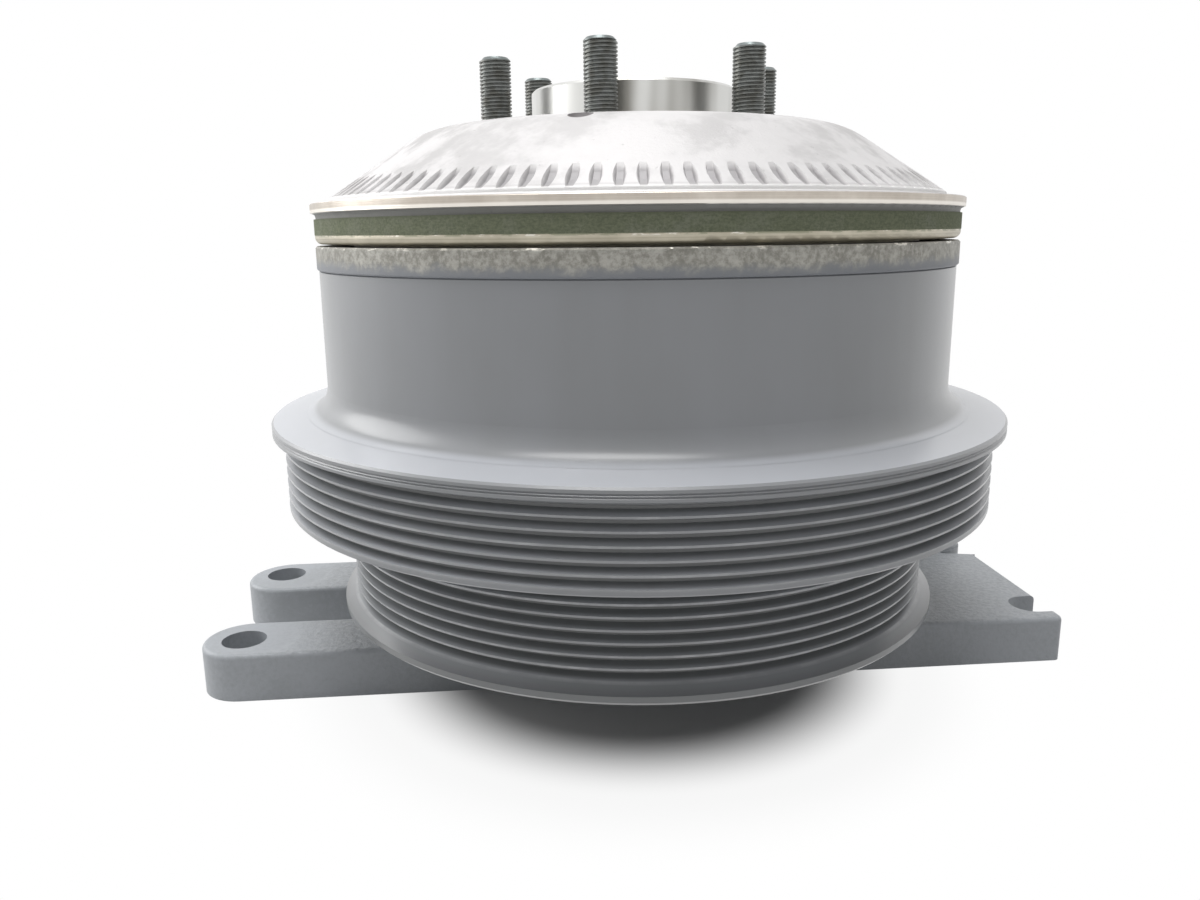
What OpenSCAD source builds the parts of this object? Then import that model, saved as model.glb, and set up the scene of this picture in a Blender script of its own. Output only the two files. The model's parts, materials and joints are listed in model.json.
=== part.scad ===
// Air-released, spring-engaged fan clutch hub: a stepped ribbed-belt pulley that turns on a fixed
// spindle in a cast bracket, and a fan mounting disc that a sliding friction disc drives.
// Origin: on the clutch axis, in the plane of the bracket's underside. +Z points to the fan.

/* [Belt tracks] */
// Distance from one belt groove to the next
groove_pitch = 3.56; // [3.2:0.02:4.3]
// Depth of a belt groove
groove_depth = 3; // [2:0.1:3.2]
// Angle between the two flanks of a groove
groove_angle = 40; // [30:1:42]
// Flat width of a crest between two grooves
crest_w = 0.6; // [0.4:0.05:0.9]
// Number of grooves in the lower track
lower_grooves = 8; // [5:1:10]
// Number of grooves in the upper track
upper_grooves = 6; // [4:1:8]
// Crest radius of the lower track
lower_track_r = 95.5; // [92:0.5:112]
// Crest radius of the upper track
upper_track_r = 114.4; // [110:0.2:138]
// How far each edge flange stands out beyond its crests
flange_lip = 3.6; // [2:0.1:6]
// Thickness of the upper flange at its edge
flange_edge = 3.5; // [2.5:0.1:5]

/* [Drum] */
// Outer radius of the drum
drum_r = 100.4; // [84:0.1:106]
// Height of the plain drum above the upper flange's edge
drum_h = 45.1; // [36:0.1:60]
// Thickness of the drum's wall
drum_wall = 9; // [7:0.5:12]
// Height of the bare ring on top of the drum
ring_h = 7.1; // [5:0.1:9]
// Slope of the upper flange's top face
flange_slope = 9; // [4:1:12]
// Radius of the fillet between flange and drum
drum_fillet = 8; // [4:0.5:10]

/* [Friction pack] */
// Distance that air pressure moves the friction disc
release_travel = 0.4; // [0.3:0.1:1.2]
// Thickness of the friction disc's outer lip
disc_lip_t = 2.6; // [2:0.1:4]
// Thickness of the friction facing
facing_t = 4.6; // [3:0.1:7]
// Width of the friction facing
facing_w = 29; // [20:1:34]
// Number of engagement springs
spring_count = 8; // [6:1:10]
// Outside radius of an engagement spring
spring_r = 7; // [5:0.5:8]
// Wire radius of an engagement spring
spring_wire_r = 1.2; // [0.8:0.1:1.6]

/* [Fan disc] */
// Radius of the fan disc's rim
rim_r = 101.9; // [86:0.1:112]
// Height of the rim's upright face
rim_h = 2.7; // [2:0.1:5]
// Rise from the rim's top edge to the top land
cone_h = 21.8; // [18:0.1:30]
// Slope of the cone
cone_slope = 34; // [28:1:40]
// Radius of the blend between cone and top land
cone_blend = 23; // [8:1:30]
// Number of cooling grooves around the cone
rib_count = 104; // [48:2:112]
// Half width of a cooling groove
groove_w = 1.65; // [1.2:0.05:1.9]
// Radius of the fan pilot
pilot_r = 32.5; // [30:0.1:40]
// Height of the fan pilot
pilot_h = 12.5; // [6:0.5:16]
// Number of fan studs
stud_count = 6; // [4:1:8]
// Diameter of the circle that the fan studs stand on
stud_pcd = 88.9; // [84:0.1:110]
// Radius of a fan stud
stud_r = 4.76; // [3.9:0.01:6.5]
// Length of stud that stands out of the top land
stud_out = 21.1; // [14:0.1:30]

/* [Bracket] */
// Thickness of the bracket's arms and plate
plate_t = 16; // [14:0.5:22]
// Distance from the clutch axis to each end of the bracket
bracket_reach = 147; // [140:0.5:180]
// Radius of a bolt hole
bolt_hole_r = 7.25; // [5:0.05:8]
// Half width of the front arm, which is also the radius of its round end
front_arm_r = 14; // [12:0.5:16]
// Half width of the rear arm, which is also the radius of its round end
rear_arm_r = 15; // [12:0.5:16]
// Distance from an arm's bolt hole to the outer side of the arm
hole_inset = 13; // [11:0.5:15]
// Distance between the two arms' bolt holes
arm_spacing = 63.5; // [50:0.5:76]
// Distance from the clutch axis to the front face
front_y = 25; // [20:0.5:34]
// Radius of the rounding along the top edges
edge_r = 1.6; // [0.6:0.1:2.5]
// Radius of the central boss
boss_r = 38; // [36:0.5:44]
// Height of the central boss above the plate
boss_h = 10; // [8:0.5:16]

/* [Spindle and bearings] */
// Radius of the spindle's bearing journal
journal_r = 25; // [22:0.5:27]
// Outer radius of the two pulley bearings
bearing_r = 45; // [42:0.5:50]
// Width of a pulley bearing
bearing_w = 20; // [18:0.5:26]
// Distance between the two pulley bearings
bearing_gap = 16; // [8:0.5:24]
// Radius of a pulley bearing's balls
ball_r = 6.35; // [5:0.05:6.5]
// Number of balls in a pulley bearing
ball_count = 10; // [8:1:11]
// Radius of the drive hub's shaft
shaft_r = 15; // [12:0.5:16]
// Outer radius of the fan bearing
fan_bearing_r = 31; // [29:0.5:33]
// Width of the double-row fan bearing
fan_bearing_w = 24; // [22:0.5:27]
// Radius of the fan bearing's balls
fan_ball_r = 4.75; // [3.5:0.05:4.9]
// Number of balls in one row of the fan bearing
fan_ball_count = 11; // [8:1:12]
// Number of teeth on the sliding spline
spline_count = 24; // [16:1:28]

/* [Fits] */
// Radial clearance between pieces that turn or slide on each other
run_gap = 0.05; // [0.02:0.01:0.1]
// Clearance between pieces that are pressed or screwed together
seat_gap = 0.02; // [0.01:0.01:0.05]
// Clearance between a ball and its races
ball_play = 0.25; // [0.15:0.05:0.3]
// Air gap between moving pieces that never touch
air_gap = 1; // [0.5:0.1:2]

/* [Hidden] */
$fn = 128;
e = 1; // overshoot of a cutting tool past the face that it opens

paint_grey = "#75787e";
bare_steel = "#8f8a80";
bearing_steel = "#b4b6b8";
cast_aluminium = "#d8d5d0";
stud_black = "#2b2c2a";
facing_green = "#5d6456";
rubber_black = "#232323";
spring_steel = "#5a5d63";
bronze = "#a8834d";

// Heights of the bracket and the bearing stack
boss_z = plate_t + boss_h;
shoulder_r = journal_r + 9;
shoulder_h = 8;
abutment_r = journal_r + 4.5;
abutment_h = 2;
rear_z = boss_z + shoulder_h + abutment_h;
front_z = rear_z + bearing_w + bearing_gap;
front_top = front_z + bearing_w;
washer_t = 1.5;
nut_h = 10;
nut_r = journal_r + 8;
spindle_thread_r = journal_r - 1;
spindle_top = front_top + washer_t + nut_h + 4.5;
tail_r = journal_r - 3;
tail_z = 2;
tail_recess_r = tail_r + 5;
tail_recess_h = 6;
tail_clip_t = 1.75;
air_bore_r = 4;
air_drill_r = 2;
air_line_z = plate_t * 0.6;
port_r = 4.6;
port_depth = 12;
seal_bore_r = 9;
seal_bore_h = 9.5;

// Heights of the pulley, from the lower rim up
rim_z = boss_z + 3.6;
hub_z = boss_z + 3;
rim_edge_z = rim_z + 1;
rim_edge_h = 1.7;
lower_z = rim_edge_z + rim_edge_h + 2;
lower_top = lower_z + lower_grooves * groove_pitch;
step_z = lower_top + 2.25;
upper_z = step_z + 1.65;
upper_top = upper_z + upper_grooves * groove_pitch;
flange_z = upper_top + 0.95;
flange_top = flange_z + flange_edge;
drum_top = flange_top + drum_h;
ring_top = drum_top + ring_h;

// Radii of the pulley
lower_flange_r = lower_track_r + flange_lip + 0.3;
upper_flange_r = upper_track_r + flange_lip - 0.2;
rim_in_r = lower_track_r - groove_depth - 8.5;
drum_in_r = drum_r - drum_wall;
hub_r = bearing_r + 11;
hub_thread_r = bearing_r + 1;
rib_r = bearing_r - 3.5;
web_t = 12;
web_z = step_z - 1;
hub_top = max(spindle_top + 4, web_z + web_t + 20);
plug_h = 14;
flank = groove_depth * tan(groove_angle / 2);
slope_rise = (upper_flange_r - drum_r) * tan(flange_slope);

// Heights of the friction pack, from the friction plane
stop_gap = 0.2;
lip_z = ring_top + release_travel + stop_gap;
face_z = lip_z + disc_lip_t;
disc_z = face_z - 7.9;
floor_t = 6;
floor_z = disc_z - floor_t;
piston_z = disc_z + 3;
piston_t = 6;
piston_top = piston_z + piston_t;
hub_flange_t = 6;
hub_flange_z = hub_top;
spline_z = hub_flange_z + hub_flange_t;
spline_top = floor_z - air_gap;
sleeve_z = spline_z + air_gap + release_travel + stop_gap;

// Radii of the friction pack
disc_r = drum_r + 0.5;
ring_r = drum_r + 0.6;
disc_body_r = drum_in_r - 1.8;
cup_r = 40;
cup_out_r = cup_r + 16;
sleeve_bore_r = shaft_r + 5;
spline_tip_r = cup_r + 4.5;
spline_root_r = spline_tip_r - 2.5;
spline_w = 4.5;
spline_play = 0.3;
sleeve_r = spline_tip_r + 5.5;
spring_pcr = (sleeve_r + drum_in_r) / 2;
hub_flange_r = drum_in_r - 8;
spring_seat = 3;
spring_z = spline_z - spring_seat;
piston_ring_r = 1.5;
disc_ring_r = 1.2;

// The rotating air joint between spindle and drive hub
duct_r = 3;
seat_h = 3;
seat_z = hub_top + 3;
seal_nose_r = 6;
seal_nose_top = seat_z - run_gap;

// The fan disc
facing_r = drum_r + 0.6;
facing_in_r = rim_r - facing_w - 0.9;
under_z = face_z + facing_t;
undercut_h = 1.8;
undercut_w = 1.5;
cove_r = 1.3;
rim_base = under_z + undercut_h;
rim_top = rim_base + rim_h;
land_z = rim_top + cone_h;
ledge_r = rim_r - 5.6;
ledge_rise = 1.4;
cone_foot_z = rim_top + ledge_rise;
land_r = ledge_r - (land_z - cone_foot_z) / tan(cone_slope);
foot_r = 0.8;
groove_l = 10.5;
groove_deep = 1.4;
groove_turn = 1.2;
dimple_r = 3.9;
dimple_z = land_z + 1;
dimple_turn = -109.2;
pilot_top = land_z + pilot_h;
housing_z = piston_top + air_gap;
fan_bearing_z = housing_z + 3;
fan_bearing_top = fan_bearing_z + fan_bearing_w;
housing_r = fan_bearing_r + 9;
nose_r = fan_bearing_r - 3.5;
disc_wall = 8;
cavity_r = facing_in_r - 2;
stud_boss_r = stud_r + 4.6;
stud_depth = 16.5;
stud_seat_r = stud_r - 0.5;
stud_turn = -108.9;
fan_nut_h = 7;
fan_washer_t = 2;
fan_clip_t = 1.8;
screw_count = 8;
screw_r = 2.5;
screw_head_r = 5;
screw_sink = 1.6;
screw_pcr = (facing_in_r + facing_r) / 2;
screw_turn = 22.5;
screw_reach = 8;

// The bearings' ball circles
ball_circle_r = (journal_r + bearing_r) / 2;
race_gap = ball_r * 0.9;
fan_circle_r = (shaft_r + fan_bearing_r) / 2;
fan_race_gap = fan_ball_r * 0.8;
row_offset = fan_bearing_w / 2 - fan_ball_r - 1.75;

// Places on the bracket, seen from above
hole_setback = 13.6;
hole_x = bracket_reach - hole_setback;
front_hole_y = hole_inset - front_y;
rear_hole_y = front_hole_y + arm_spacing;
rear_y = rear_hole_y + hole_inset;
front_ear = [front_arm_r - bracket_reach, front_arm_r - front_y];
rear_ear = [rear_arm_r - bracket_reach, rear_y - rear_arm_r];
gap_front_y = front_ear.y + front_arm_r;
gap_rear_y = rear_ear.y - rear_arm_r;
gap_x = 66;
gap_corner_r = 11;
notch_x = bracket_reach - 5.5;
notch_r = bolt_hole_r;
notch_y = front_hole_y;
plate_back_y = front_y + 17;
lug_r = 13;
lug_x = bracket_reach - lug_r;
lug_y = plate_back_y + 18;
lug_z = plate_t + 8;
lug_run_x = lug_x - 56;
back_bevel = 8;
back_edge_y = plate_back_y + 2;
boss_fillet = 12;
boss_web_x = sqrt(pow(boss_r + boss_fillet, 2) - pow(front_y + boss_fillet, 2));
corner_r = 2.5;

// A point at an angle and a distance from another
function polar(p, a, r) = p + r * [cos(a), sin(a)];

// The sliver between a corner and the arc that is tangent to both of its sides. Added to a hollow
// corner it is a fillet, cut from a solid corner it is a rounding. a and b are the sides' directions.
module corner_web(p, a, b, r) {
    half = (b - a) / 2;
    centre = polar(p, (a + b) / 2, r / sin(half));
    reach = r / tan(half);
    difference() {
        polygon([p, polar(p, a, reach), centre, polar(p, b, reach)]);
        translate(centre) circle(r);
    }
}

// A ring of rectangular section
module ring(r_in, r_out, z0, z1) {
    rotate_extrude() translate([r_in, z0]) square([r_out - r_in, z1 - z0]);
}

// A round hole or pin between two heights
module column(r, z0, z1) {
    translate([0, 0, z0]) cylinder(r = r, h = z1 - z0);
}

// Copies of one shape, evenly spaced on a circle
module around(count, r, turn = 0) {
    for (i = [0 : count - 1]) rotate(turn + 360 * i / count) translate([r, 0, 0]) children();
}

// An open snap ring with two eyed lugs, which point inward or outward
module snap_ring(r_in, r_out, z0, t, lug_side) {
    opening = 26;
    lug_r = 2.6;
    eye_r = 1.1;
    lug_at = lug_side > 0 ? r_in + lug_r : r_in + 0.3 * lug_r;
    difference() {
        union() {
            rotate(opening / 2) rotate_extrude(angle = 360 - opening)
                translate([r_in, z0]) square([r_out - r_in, t]);
            for (s = [-1, 1]) rotate(s * opening / 2) translate([lug_at, 0, 0])
                column(lug_r, z0, z0 + t);
        }
        for (s = [-1, 1]) rotate(s * opening / 2) translate([lug_at, 0, 0])
            column(eye_r, z0 - e, z0 + t + e);
    }
}

// One race of a ball bearing, with a round track for each row of balls
module race(r_in, r_out, z0, w, circle_r, track_r, rows) {
    bevel = 0.8;
    rotate_extrude() difference() {
        translate([r_in, z0]) polygon([
            [0, bevel], [bevel, 0], [r_out - r_in - bevel, 0], [r_out - r_in, bevel],
            [r_out - r_in, w - bevel], [r_out - r_in - bevel, w], [bevel, w], [0, w - bevel]
        ]);
        for (z = rows) translate([circle_r, z]) circle(track_r);
    }
}

// A solid cage with a pocket for each ball
module cage(circle_r, half_t, z0, z1, r, count, rows, stagger) {
    pocket_play = 0.1;
    difference() {
        ring(circle_r - half_t, circle_r + half_t, z0, z1);
        for (i = [0 : len(rows) - 1]) around(count, circle_r, i * stagger)
            translate([0, 0, rows[i]]) sphere(r + pocket_play);
    }
}

// Balls on one or more rows
module balls(circle_r, r, count, rows, stagger) {
    for (i = [0 : len(rows) - 1]) around(count, circle_r, i * stagger)
        translate([0, 0, rows[i]]) sphere(r);
}

// A solid through a row of sections that all have the same number of corners
module loft(points, sides) {
    last = len(points) / sides - 1;
    walls = [
        for (i = [0 : last - 1], j = [0 : sides - 1])
            let (k = (j + 1) % sides)
            [i * sides + j, i * sides + k, (i + 1) * sides + k, (i + 1) * sides + j]
    ];
    ends = [
        [for (j = [sides - 1 : -1 : 0]) j],
        [for (j = [0 : sides - 1]) last * sides + j]
    ];
    polyhedron(points = points, faces = concat(walls, ends));
}

// A coil of round wire between two heights
module coil(r, wire, z0, z1, turns) {
    steps = 12;
    sides = 6;
    last = steps * turns;
    rise = (z1 - z0 - 2 * wire) / last;
    loft([
        for (i = [0 : last], j = [0 : sides - 1])
            let (a = 360 * i / steps, b = 360 * j / sides, q = r + wire * cos(b))
            [q * cos(a), q * sin(a), z0 + wire + i * rise + wire * sin(b)]
    ], sides);
}

// A belt track's outline, from its lowest crest up
function track(r, z0, count) = [
    for (k = [0 : count - 1]) each let (a = z0 + k * groove_pitch, b = a + groove_pitch) [
        [r, a + crest_w / 2],
        [r - groove_depth, a + crest_w / 2 + flank],
        [r - groove_depth, b - crest_w / 2 - flank],
        [r, b - crest_w / 2]
    ]
];

// The bracket's outline without its notch and holes
module bracket_outline() {
    translate(front_ear) circle(front_arm_r);
    translate(rear_ear) circle(rear_arm_r);
    translate([front_ear.x, -front_y]) square([-front_ear.x, 2 * front_arm_r]);
    translate([rear_ear.x, gap_rear_y]) square([-rear_ear.x, 2 * rear_arm_r]);
    translate([-gap_x, -front_y]) square([gap_x + 1, front_y + rear_y]);
    corner_web([-gap_x, gap_front_y], 90, 180, gap_corner_r);
    corner_web([-gap_x, gap_rear_y], 180, 270, gap_corner_r);
    circle(boss_r);
    for (side = [0, 1]) mirror([side, 0]) boss_web();
    difference() {
        polygon([
            [0, -front_y], [bracket_reach, -front_y], [bracket_reach, plate_back_y],
            [bracket_reach - back_bevel, back_edge_y], [lug_x, back_edge_y + 1],
            [lug_x, lug_y + lug_r], [lug_run_x, rear_y], [0, rear_y]
        ]);
        corner_web([bracket_reach, -front_y], 90, 180, corner_r);
    }
    translate([lug_x, lug_y]) circle(lug_r);
}

// The fillet between the front face and the boss
module boss_web() {
    centre = [boss_web_x, -front_y - boss_fillet];
    difference() {
        polygon([[0, -front_y], [boss_web_x, -front_y], centre, centre * boss_r / norm(centre)]);
        translate(centre) circle(boss_fillet);
    }
}

// Cuts that round the top edge along a straight side. The casting lies to the left of p to q.
module edge_cut(p, q) {
    along = q - p;
    translate([p.x, p.y, plate_t]) rotate(atan2(along.y, along.x)) rotate([90, 0, 90])
        linear_extrude(norm(along)) corner_web([0, 0], -90, 0, edge_r);
}

// Cuts that round the top edge of an ear's round end
module ear_cut(centre, r) {
    translate(centre) rotate(90) rotate_extrude(angle = 180)
        corner_web([r, plate_t], 180, 270, edge_r);
}

module mounting_bracket() color(paint_grey) {
    foot_r = boss_r + 6;
    pad_r = lug_r - 0.4;
    difference() {
        union() {
            linear_extrude(plate_t) bracket_outline();
            translate([lug_x, lug_y, 0]) rotate_extrude() difference() {
                translate([0, plate_t - e]) square([pad_r, lug_z - plate_t + e]);
                corner_web([pad_r, lug_z], 180, 270, edge_r);
            }
            intersection() {
                rotate_extrude() polygon([
                    [0, plate_t - e], [foot_r, plate_t - e], [foot_r, plate_t],
                    [boss_r - 2, plate_t + 6], [boss_r - 2, boss_z - 1], [boss_r - 3, boss_z],
                    [0, boss_z]
                ]);
                linear_extrude(boss_z + e) bracket_outline();
            }
        }
        column(tail_r, -e, boss_z + e);
        column(tail_recess_r, -e, tail_recess_h);
        for (y = [front_hole_y, rear_hole_y]) translate([-hole_x, y, 0])
            column(bolt_hole_r, -e, plate_t + e);
        translate([lug_x, lug_y, 0]) column(bolt_hole_r, -e, lug_z + e);
        translate([notch_x, notch_y, 0]) column(notch_r, -e, plate_t + e);
        translate([notch_x, notch_y - notch_r, -e])
            cube([bracket_reach, 2 * notch_r, plate_t + 2 * e]);
        translate([0, rear_y + e, air_line_z]) rotate([90, 0, 0])
            cylinder(r = port_r, h = port_depth + e);
        translate([0, rear_y, air_line_z]) rotate([90, 0, 0])
            cylinder(r = air_drill_r, h = rear_y - tail_r + e);
        edge_cut([front_ear.x, -front_y], [-boss_web_x, -front_y]);
        edge_cut([boss_web_x, -front_y], [bracket_reach - corner_r, -front_y]);
        edge_cut([bracket_reach, notch_y + notch_r], [bracket_reach, plate_back_y]);
        edge_cut([bracket_reach, corner_r - front_y], [bracket_reach, notch_y - notch_r]);
        translate([bracket_reach - corner_r, corner_r - front_y, 0]) rotate(-90)
            rotate_extrude(angle = 90) corner_web([corner_r, plate_t], 180, 270, edge_r);
        edge_cut([lug_run_x, rear_y], [rear_ear.x, rear_y]);
        edge_cut([-gap_x - gap_corner_r, gap_front_y], [front_ear.x, gap_front_y]);
        edge_cut([rear_ear.x, gap_rear_y], [-gap_x - gap_corner_r, gap_rear_y]);
        ear_cut(front_ear, front_arm_r);
        ear_cut(rear_ear, rear_arm_r);
    }
}

module spindle() color(bare_steel) {
    groove_r = tail_r - 1.5;
    clip_z = tail_recess_h - tail_clip_t;
    difference() {
        rotate_extrude() polygon([
            [0, tail_z], [tail_r - 1, tail_z], [tail_r - seat_gap, tail_z + 1],
            [tail_r - seat_gap, clip_z - 0.05], [groove_r, clip_z - 0.05], [groove_r, tail_recess_h],
            [tail_r - seat_gap, tail_recess_h], [tail_r - seat_gap, boss_z],
            [shoulder_r, boss_z], [shoulder_r, boss_z + shoulder_h],
            [abutment_r, boss_z + shoulder_h], [abutment_r, rear_z],
            [journal_r, rear_z], [journal_r, front_top],
            [spindle_thread_r, front_top], [spindle_thread_r, spindle_top - 1],
            [spindle_thread_r - 1, spindle_top], [0, spindle_top]
        ]);
        column(air_bore_r, air_line_z - air_drill_r, spindle_top + e);
        column(seal_bore_r, spindle_top - seal_bore_h, spindle_top + e);
        translate([0, 0, air_line_z]) rotate([-90, 0, 0]) cylinder(r = air_drill_r, h = tail_r + e);
    }
}

module spindle_circlip() color(spring_steel) {
    snap_ring(tail_r - 1.4, tail_r + 2.4, tail_recess_h - tail_clip_t, tail_clip_t, 1);
}

module inner_race(z) color(bearing_steel) {
    race(journal_r + seat_gap, ball_circle_r - race_gap, z, bearing_w,
        ball_circle_r, ball_r + ball_play, [z + bearing_w / 2]);
}

module outer_race(z) color(bearing_steel) {
    race(ball_circle_r + race_gap, bearing_r - seat_gap, z, bearing_w,
        ball_circle_r, ball_r + ball_play, [z + bearing_w / 2]);
}

module bearing_cage(z) color(bronze) {
    half_w = ball_r + 1;
    mid = z + bearing_w / 2;
    cage(ball_circle_r, race_gap * 0.4, mid - half_w, mid + half_w, ball_r, ball_count, [mid], 0);
}

module bearing_balls(z) color("silver") {
    balls(ball_circle_r, ball_r, ball_count, [z + bearing_w / 2], 0);
}

module rear_bearing_inner_race() inner_race(rear_z);
module front_bearing_inner_race() inner_race(front_z);
module rear_bearing_outer_race() outer_race(rear_z);
module front_bearing_outer_race() outer_race(front_z);
module rear_bearing_cage() bearing_cage(rear_z);
module front_bearing_cage() bearing_cage(front_z);
module rear_bearing_balls() bearing_balls(rear_z);
module front_bearing_balls() bearing_balls(front_z);

module bearing_spacer() color(bare_steel) {
    ring(journal_r + seat_gap, abutment_r, rear_z + bearing_w, front_z);
}

module spindle_lock_washer() color(bare_steel) {
    tab_w = 5;
    tab_count = 8;
    tab_l = 3;
    difference() {
        union() {
            ring(spindle_thread_r + seat_gap, nut_r - 4, front_top, front_top + washer_t);
            around(tab_count, nut_r - 5) translate([0, -tab_w / 2, front_top])
                cube([tab_l, tab_w, washer_t]);
        }
        column(spindle_thread_r + seat_gap, front_top - e, front_top + washer_t + e);
    }
}

module spindle_nut() color(spring_steel) {
    z0 = front_top + washer_t;
    slot_w = 6;
    slot_depth = 3;
    slot_count = 4;
    difference() {
        rotate_extrude() polygon([
            [spindle_thread_r + seat_gap, z0], [nut_r, z0], [nut_r, z0 + nut_h - 1],
            [nut_r - 1, z0 + nut_h], [spindle_thread_r + seat_gap, z0 + nut_h]
        ]);
        around(slot_count, nut_r - slot_depth, 45) translate([0, -slot_w / 2, z0 - e])
            cube([slot_depth + e, slot_w, nut_h + 2 * e]);
    }
}

module air_seal_cartridge() color(bronze) {
    z0 = spindle_top - seal_bore_h;
    duct_r = 2.2;
    rotate_extrude() polygon([
        [duct_r, z0], [seal_bore_r - seat_gap, z0], [seal_bore_r - seat_gap, spindle_top],
        [seal_bore_r + 2, spindle_top], [seal_bore_r + 2, spindle_top + 1.5],
        [seal_nose_r, spindle_top + 1.5], [seal_nose_r, seal_nose_top], [duct_r, seal_nose_top]
    ]);
}

module pulley() color(paint_grey) {
    clip_z = rear_z - tail_clip_t;
    hub_fillet = 5;
    fine_line = 0.35;
    rotate_extrude() {
        difference() {
            polygon(concat(
                [
                    [bearing_r, hub_z], [hub_r, hub_z], [hub_r, web_z], [rim_in_r, web_z],
                    [rim_in_r + 1.5, rim_z], [lower_flange_r - 1, rim_z],
                    [lower_flange_r, rim_edge_z], [lower_flange_r, rim_edge_z + rim_edge_h]
                ],
                track(lower_track_r, lower_z, lower_grooves),
                [
                    [lower_track_r, lower_top + 1], [lower_track_r + 1.25, step_z],
                    [upper_track_r - 0.5, step_z], [upper_track_r, step_z + 0.5]
                ],
                track(upper_track_r, upper_z, upper_grooves),
                [
                    [upper_flange_r, flange_z],
                    [upper_flange_r, flange_z + 0.75],
                    [upper_flange_r - fine_line, flange_z + 0.75 + fine_line],
                    [upper_flange_r, flange_z + 0.75 + 2 * fine_line],
                    [upper_flange_r - fine_line, flange_z + 0.75 + 3 * fine_line],
                    [upper_flange_r, flange_z + 0.75 + 4 * fine_line],
                    [upper_flange_r, flange_top - 0.6], [upper_flange_r - 0.6, flange_top],
                    [drum_r, flange_top + slope_rise],
                    [drum_r, drum_top - 0.4], [drum_r - 0.4, drum_top],
                    [drum_in_r, drum_top], [drum_in_r, web_z + web_t], [hub_r, web_z + web_t],
                    [hub_r, hub_top], [hub_thread_r, hub_top], [hub_thread_r, hub_top - plug_h],
                    [bearing_r, hub_top - plug_h], [bearing_r, front_z], [rib_r, front_z],
                    [rib_r, rear_z + bearing_w], [bearing_r, rear_z + bearing_w],
                    [bearing_r, rear_z + 0.05], [bearing_r + 2, rear_z + 0.05],
                    [bearing_r + 2, clip_z - 0.05], [bearing_r, clip_z - 0.05]
                ]
            ));
        }
        corner_web([drum_r, flange_top + slope_rise], -flange_slope, 90, drum_fillet);
        corner_web([hub_r, web_z + web_t], 0, 90, hub_fillet);
        corner_web([drum_in_r, web_z + web_t], 90, 180, hub_fillet);
        corner_web([hub_r, web_z], -90, 0, hub_fillet);
    }
}

module drum_ring() color(bare_steel) {
    spigot_h = 6;
    spigot_in_r = drum_in_r - 3.8;
    spigot_top = drum_top + 0.9;
    body_in_r = disc_body_r + air_gap;
    rotate_extrude() polygon([
        [spigot_in_r, drum_top - spigot_h], [drum_in_r - seat_gap, drum_top - spigot_h],
        [drum_in_r - seat_gap, drum_top], [ring_r - 0.4, drum_top], [ring_r, drum_top + 0.4],
        [ring_r, ring_top - 0.5], [ring_r - 0.5, ring_top], [body_in_r, ring_top],
        [body_in_r, spigot_top], [spigot_in_r, spigot_top]
    ]);
}

module rear_bearing_circlip() color(spring_steel) {
    snap_ring(bearing_r - 4, bearing_r + 1.8, rear_z - tail_clip_t, tail_clip_t, -1);
}

module rear_grease_seal() color(rubber_black) {
    z0 = hub_z + 0.4;
    z1 = rear_z - tail_clip_t - 0.4;
    lip_r = shoulder_r + run_gap;
    case_r = bearing_r - seat_gap;
    rotate_extrude() polygon([
        [lip_r, z0 + 1.2], [lip_r + 2.5, z0], [case_r, z0], [case_r, z1],
        [case_r - 1.5, z1], [case_r - 1.5, z0 + 1.5], [lip_r + 3, z0 + 1.5],
        [lip_r + 2, z1 - 0.4], [lip_r, z1 - 1]
    ]);
}

// The raised teeth of the sliding spline
module spline_teeth(root_r, tip_r, w, z0, z1) {
    around(spline_count, root_r - e) translate([0, -w / 2, z0]) cube([tip_r - root_r + e, w, z1 - z0]);
}

module drive_hub() color(bare_steel) {
    plug_r = hub_thread_r - seat_gap;
    plug_in_r = nut_r + 2.5;
    well_r = seal_bore_r + 3.5;
    relief_in_r = sleeve_bore_r + 5;
    relief_out_r = spline_root_r - 6;
    relief_z = spline_z + 3;
    shaft_thread_r = shaft_r - 1;
    shaft_top = fan_bearing_top + fan_washer_t + fan_nut_h + 0.8;
    port_z = disc_z + 1.5;
    port_drill_r = 1.2;
    tooth_r = spline_tip_r - spline_play;
    difference() {
        union() {
            rotate_extrude() polygon([
                [0, seat_z - e], [well_r, seat_z - e], [well_r, hub_top], [plug_in_r, hub_top],
                [plug_in_r, front_top], [bearing_r - seat_gap - 0.5, front_top],
                [bearing_r - seat_gap, front_top + 0.5], [bearing_r - seat_gap, hub_top - plug_h],
                [plug_r, hub_top - plug_h], [plug_r, hub_top],
                [hub_flange_r, hub_top], [hub_flange_r, spline_z - 1], [hub_flange_r - 1, spline_z],
                [spline_root_r - spline_play, spline_z], [spline_root_r - spline_play, spline_top],
                [relief_out_r, spline_top], [relief_out_r, relief_z], [relief_in_r, relief_z],
                [relief_in_r, spline_top], [sleeve_bore_r, spline_top], [sleeve_bore_r, piston_z],
                [shaft_r, piston_z], [shaft_r, fan_bearing_top],
                [shaft_thread_r, fan_bearing_top], [shaft_thread_r, shaft_top - 1],
                [shaft_thread_r - 1, shaft_top], [0, shaft_top]
            ]);
            intersection() {
                spline_teeth(spline_root_r - spline_play, spline_tip_r, spline_w, spline_z, spline_top);
                column(tooth_r, spline_z - e, spline_top + e);
            }
        }
        column(seal_bore_r, seat_z - 2 * e, seat_z + seat_h);
        column(duct_r, seat_z, port_z + 2);
        translate([0, 0, port_z]) rotate([0, 90, 0])
            cylinder(r = port_drill_r, h = 2 * sleeve_bore_r + 2 * e, center = true);
        around(spring_count, spring_pcr) column(spring_r + 0.4, spring_z, spline_z + e);
    }
}

module air_seal_seat() color(bearing_steel) {
    ring(duct_r, seal_bore_r - seat_gap, seat_z, seat_z + seat_h);
}

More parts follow.
